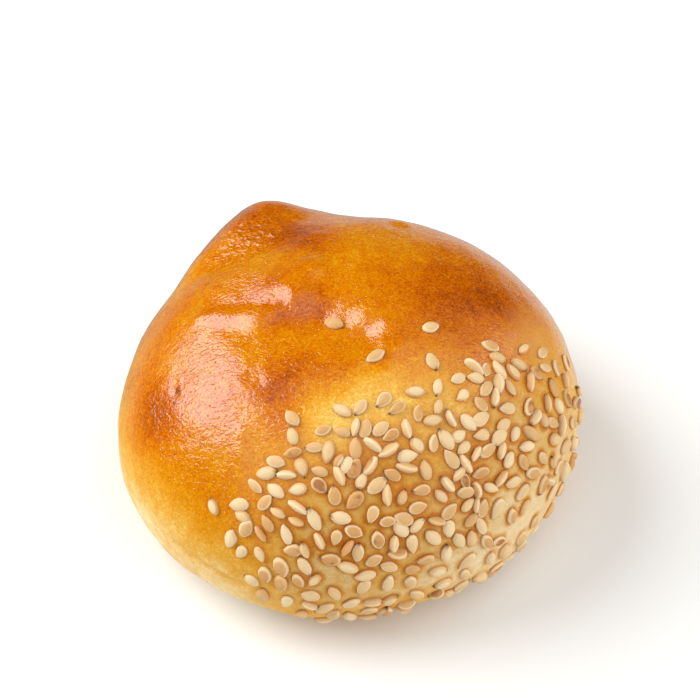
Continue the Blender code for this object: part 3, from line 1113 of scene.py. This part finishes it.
put_down_everything()
bpy.ops.mesh.primitive_plane_add(size=TABLE_SIZE)
table = bpy.context.object
table.name = "table"
tree = new_finish("matt_white_table", table)
surface = add_node(
    tree, "ShaderNodeBsdfPrincipled", values={"Base Color": linear("#E8E8E6"), "Roughness": 0.9}
)
tree.links.new(surface.outputs["BSDF"], tree.nodes["Material Output"].inputs["Surface"])
table.visible_glossy = False
print("table is", TABLE_SIZE, "m wide")

# %% Softbox, card and fill
ASIDE = Vector((-0.599, 0.497, 0.628)).normalized()  # from the bun to the softbox
SOFTBOX_DISTANCE = 0.7  # metres, as are all sizes and places of the lamps
SOFTBOX_HALF_ANGLE = math.radians(28)
SOFTBOX_RADIANCE = 5.8
CARD_RADIANCE = 1.18
CARD_SIZE = (1.85, 0.64)
CARD_PLACE = Vector((0.76, -0.53, 0.32))
FILL_PLACE = Vector((0.5, -0.1, 0.5))
FILL_RADIANCE = 0.6
FILL_WIDTH = 1.0


def add_lamp(name, place, aim, radiance, shape, width, height):
    """An area lamp of this radiance, facing its aim."""
    data = bpy.data.lights.new(name, "AREA")
    data.shape, data.size, data.size_y = shape, width, height
    area = width * height * (math.pi / 4 if shape == "DISK" else 1)
    data.energy = radiance * area * math.pi
    lamp = bpy.data.objects.new(name, data)
    bpy.context.scene.collection.objects.link(lamp)
    lamp.location = place
    lamp.rotation_euler = (place - aim).to_track_quat("Z", "Y").to_euler()
    return lamp


softbox_width = 2 * SOFTBOX_DISTANCE * math.tan(SOFTBOX_HALF_ANGLE)
softbox_place = middle + ASIDE * SOFTBOX_DISTANCE
add_lamp("softbox", softbox_place, middle, SOFTBOX_RADIANCE, "DISK", softbox_width, softbox_width)
add_lamp("card", CARD_PLACE, middle, CARD_RADIANCE, "RECTANGLE", *CARD_SIZE)
fill = add_lamp("fill", FILL_PLACE, middle, FILL_RADIANCE, "DISK", FILL_WIDTH, FILL_WIDTH)
fill.visible_glossy = False
print("softbox is", round(softbox_width / MM), "mm wide")

# %% Room
BRIGHT_SIDE = Vector((0.25, -0.87, 0.42)).normalized()
WALLS = {"From Min": -0.1, "From Max": 0.6, "To Min": 0.02, "To Max": 0.95}  # they brighten to that side
TABLE_GLOW = {"From Min": -0.1, "From Max": -0.45, "To Min": 0.0, "To Max": 0.9}  # grows below the horizon
GLOW_ON_RIGHT = {"From Min": 0.2, "From Max": 0.6, "To Min": 0.33, "To Max": 1.0}  # and from left to right

room = bpy.data.worlds.new("room")
room.use_nodes = True
bpy.context.scene.world = room
tree = room.node_tree
direction = add_node(tree, "ShaderNodeTexCoord").outputs["Generated"]
facing = add_node(
    tree, "ShaderNodeVectorMath", {"operation": "DOT_PRODUCT"}, {1: BRIGHT_SIDE}, {0: direction}
).outputs["Value"]
walls = add_node(
    tree, "ShaderNodeMapRange", {"interpolation_type": "SMOOTHSTEP"}, WALLS, {"Value": facing}
).outputs["Result"]
split = add_node(tree, "ShaderNodeSeparateXYZ", links={"Vector": direction}).outputs
glow = add_node(
    tree, "ShaderNodeMapRange", {"interpolation_type": "SMOOTHSTEP"}, TABLE_GLOW, {"Value": split["Z"]}
).outputs["Result"]
on_right = add_node(
    tree, "ShaderNodeMapRange", values=GLOW_ON_RIGHT, links={"Value": split["X"]}
).outputs["Result"]
glow = add_node(tree, "ShaderNodeMath", {"operation": "MULTIPLY"}, links={0: glow, 1: on_right}).outputs[0]
brighter = add_node(tree, "ShaderNodeMath", {"operation": "MAXIMUM"}, links={0: walls, 1: glow}).outputs[0]
tree.links.new(brighter, tree.nodes["Background"].inputs["Strength"])
tree.nodes["Background"].inputs["Color"].default_value = linear("#FFFFFF")
print("room has", len(tree.nodes), "nodes")

# %% [markdown]
# ## The camera
# The photograph looks down at 52 degrees, from a little to the left of the broad end. Seen from near, the
# seeds would look much larger than the tip, so the camera stands 48 cm away with a long lens, and its width
# follows from the real size of a pixel. The bun lies a little below the middle of the picture, so the camera
# aims above it.

# %% Camera
AZIMUTH, ELEVATION = math.radians(-24), math.radians(52)
CAMERA_DISTANCE = 0.48  # metres
FRAME_PIXELS = 700
MM_PER_PIXEL = 0.146
BUN_BELOW_CENTRE = 67.4  # pixels
BUN_LEFT_OF_CENTRE = 0.1  # millimetres
SENSOR = 36.0  # millimetres

back = Vector(
    (math.sin(AZIMUTH) * math.cos(ELEVATION), -math.cos(AZIMUTH) * math.cos(ELEVATION), math.sin(ELEVATION))
)
right = Vector((math.cos(AZIMUTH), math.sin(AZIMUTH), 0))
above = back.cross(right)
camera_data = bpy.data.cameras.new("camera")
camera_data.sensor_width = SENSOR
camera_data.lens = CAMERA_DISTANCE / (MM_PER_PIXEL * MM) * SENSOR / FRAME_PIXELS
camera = bpy.data.objects.new("camera", camera_data)
bpy.context.scene.collection.objects.link(camera)
bpy.context.scene.camera = camera
camera.location = middle + back * CAMERA_DISTANCE
aim = middle + above * BUN_BELOW_CENTRE * MM_PER_PIXEL * MM + right * BUN_LEFT_OF_CENTRE * MM
camera.rotation_euler = (camera.location - aim).to_track_quat("Z", "Y").to_euler()
bpy.context.scene.view_settings.view_transform = "Standard"
print("lens", round(camera_data.lens), "mm")
